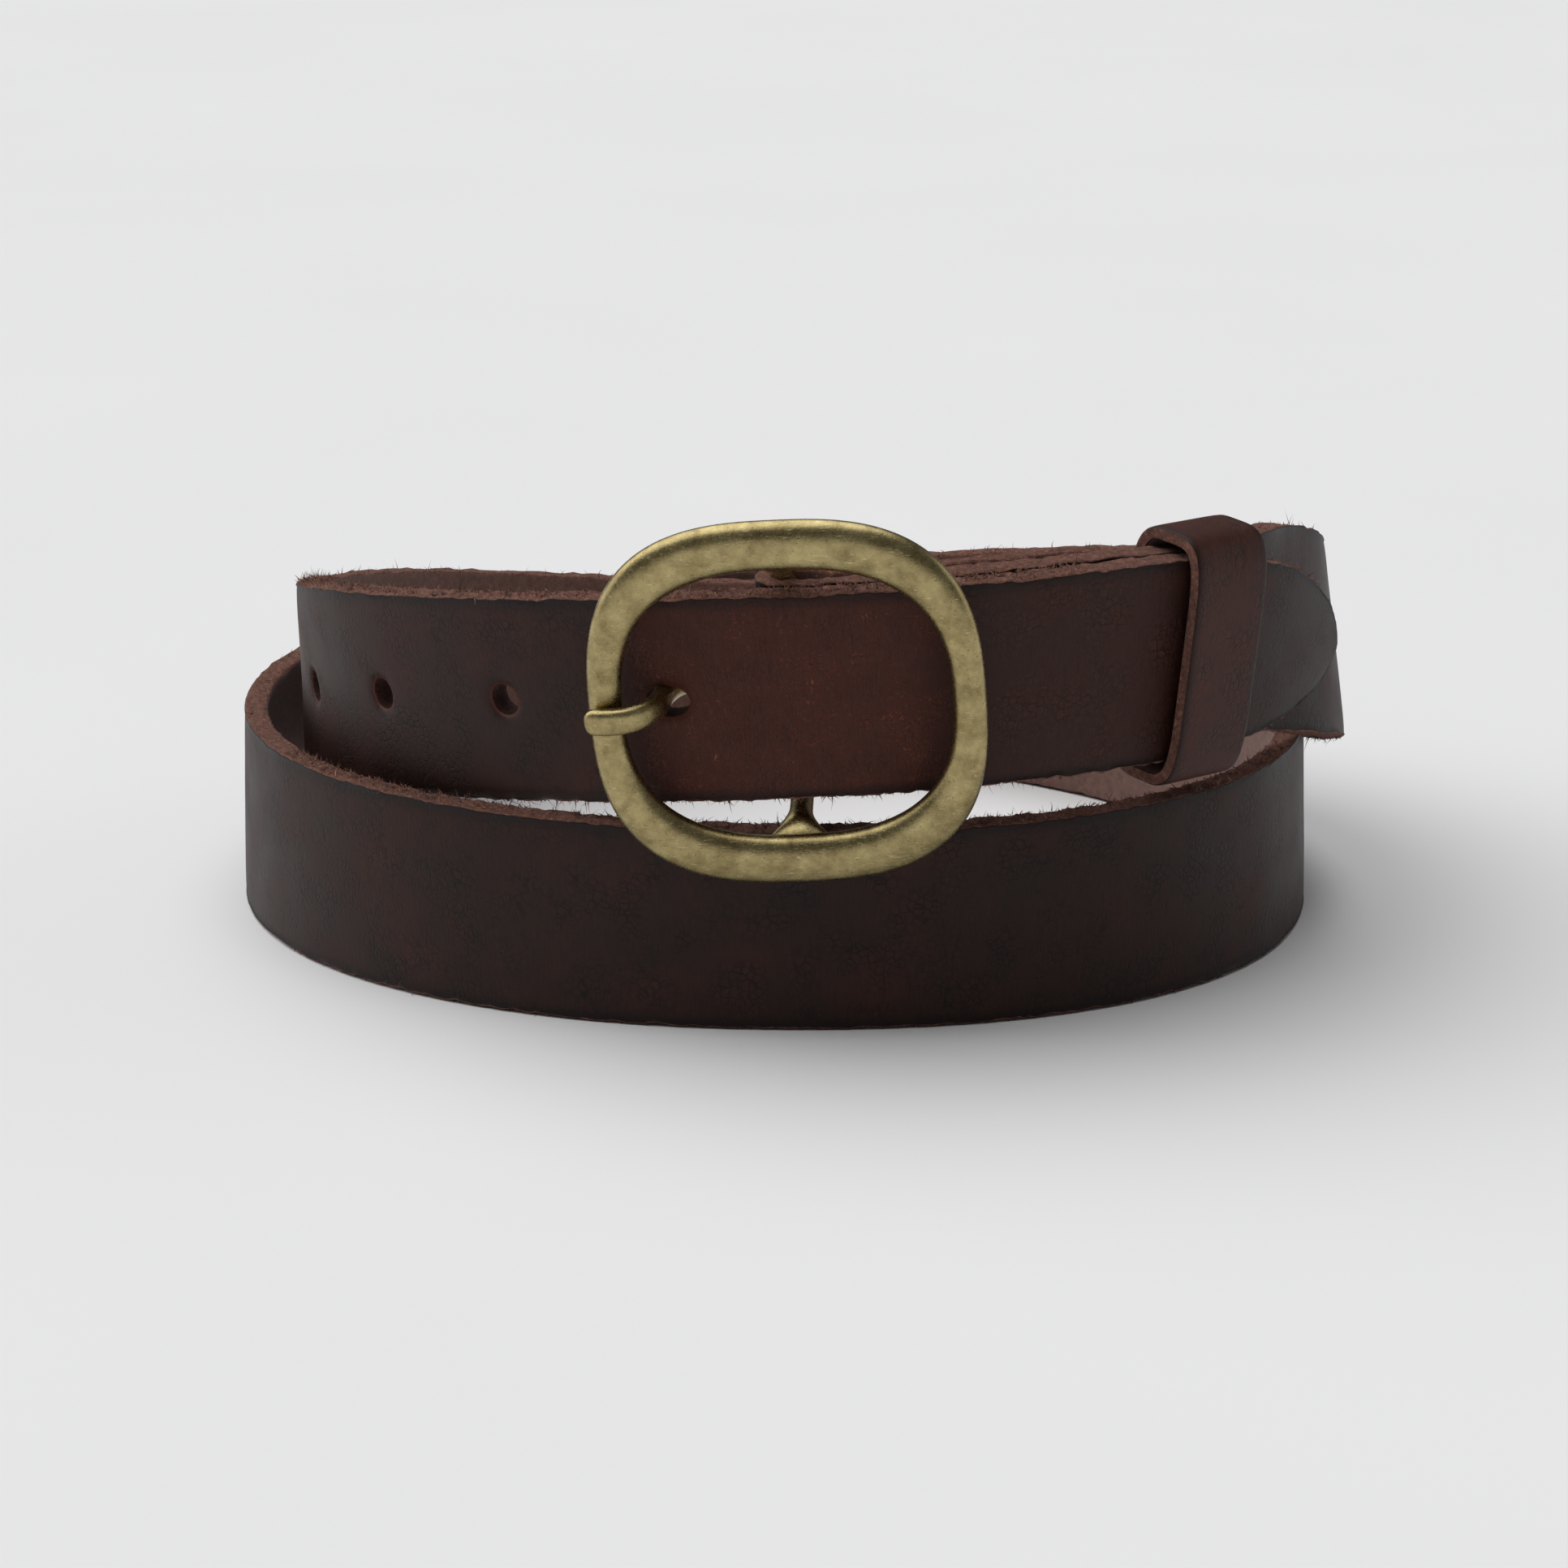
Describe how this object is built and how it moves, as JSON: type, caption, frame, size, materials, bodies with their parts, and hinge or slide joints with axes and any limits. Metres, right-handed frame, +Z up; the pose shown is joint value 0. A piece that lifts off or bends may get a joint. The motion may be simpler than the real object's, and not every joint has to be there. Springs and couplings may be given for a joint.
{
  "type": "leather belt",
  "caption": "Brown leather waist belt, buckled and coiled, with an oval brass centre-bar buckle, a prong through a punched hole and a sliding leather keeper.",
  "frame": {"origin": "centre of the belt's bounding box, on the surface it stands on", "axes": "+Z up, -Y the side with the buckle, +X to the right of somebody looking at the buckle"},
  "size_m": [0.1682, 0.1723, 0.0759],
  "materials": {
    "strap_leather": "waxed full grain with raw suede back",
    "keeper_leather": "smooth, light sheen",
    "antique_brass": "antiqued satin with fine scratches",
    "staple_steel": "plain wire"
  },
  "bodies": {
    "belt": {"strap": "strap_leather", "fold_posts": "antique_brass", "fold_screws": "antique_brass"},
    "buckle": {"buckle_frame": "antique_brass"},
    "prong": {"prong": "antique_brass"},
    "keeper": {"keeper_loop": "keeper_leather", "keeper_staple": "staple_steel"}
  },
  "joints": [
    {"name": "buckle_swivel", "type": "hinge", "parent": "belt", "child": "buckle", "pos_m": [-0.0003, -0.06972, 0.05129], "axis": [-0.0768, -0.1597, 0.9842], "range_deg": [-2, 2]},
    {"name": "prong_lift", "type": "hinge", "parent": "buckle", "child": "prong", "pos_m": [-0.0003, -0.06972, 0.05129], "axis": [-0.0768, -0.1597, 0.9842], "range_deg": [0, 6]},
    {"name": "keeper_slide", "type": "hinge", "parent": "belt", "child": "keeper", "pos_m": [0.00198, 0.0041, 0], "axis": [0, 0, 1], "range_deg": [-5, 1]}
  ]
}
